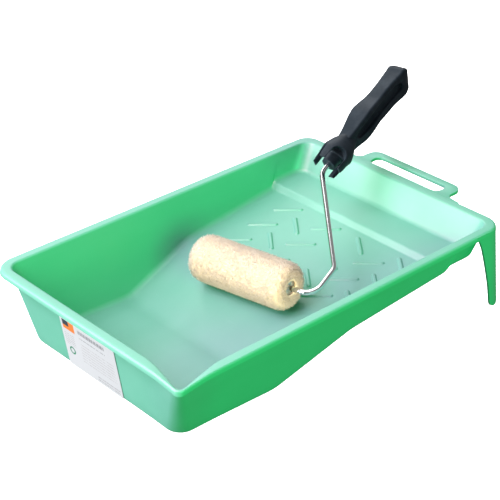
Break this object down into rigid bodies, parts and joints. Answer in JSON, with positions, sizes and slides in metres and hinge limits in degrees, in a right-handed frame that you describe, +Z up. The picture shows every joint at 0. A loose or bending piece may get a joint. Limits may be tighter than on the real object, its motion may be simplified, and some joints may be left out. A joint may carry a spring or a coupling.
{
  "type": "paint roller tray",
  "caption": "Plastic paint tray with a deep well, ribbed ramp, pouring spout, carrying loop and legs, with a small wire-framed roller lying in it.",
  "frame": {"origin": "under the middle of the well, on the flat underside that the tray stands on", "axes": "+Z up; +Y from the deep end towards the shallow end with the carrying loop; +X towards the side with the pouring spout"},
  "size_m": [0.2684, 0.4356, 0.1807],
  "materials": {
    "tray_plastic": "satin moulded polypropylene",
    "label_paper": "coated label paper",
    "pile": "woven acrylic pile",
    "core_plastic": "matt",
    "bush_nylon": "matt",
    "small_steel": "bright zinc plate",
    "wire_steel": "bright plated wire",
    "handle_plastic": "satin moulded plastic"
  },
  "bodies": {
    "tray": {"tray_shell": "tray_plastic", "label": "label_paper"},
    "roller_frame": {"wire_frame": "wire_steel", "handle": "handle_plastic", "washer_near": "small_steel", "washer_far": "small_steel", "push_nut": "small_steel"},
    "roller_cover": {"pile_cover": "pile", "core_tube": "core_plastic", "bush_near": "bush_nylon", "bush_far": "bush_nylon"}
  },
  "joints": [
    {"name": "roller_lift", "type": "slide", "parent": "tray", "child": "roller_frame", "axis": [0, 0, 1], "range_m": [0, 0.16]},
    {"name": "cover_spin", "type": "hinge", "parent": "roller_frame", "child": "roller_cover", "pos_m": [-0.0029, 0.1145, 0.05098], "axis": [0.9886, 0.1407, 0.0537], "continuous": true}
  ]
}
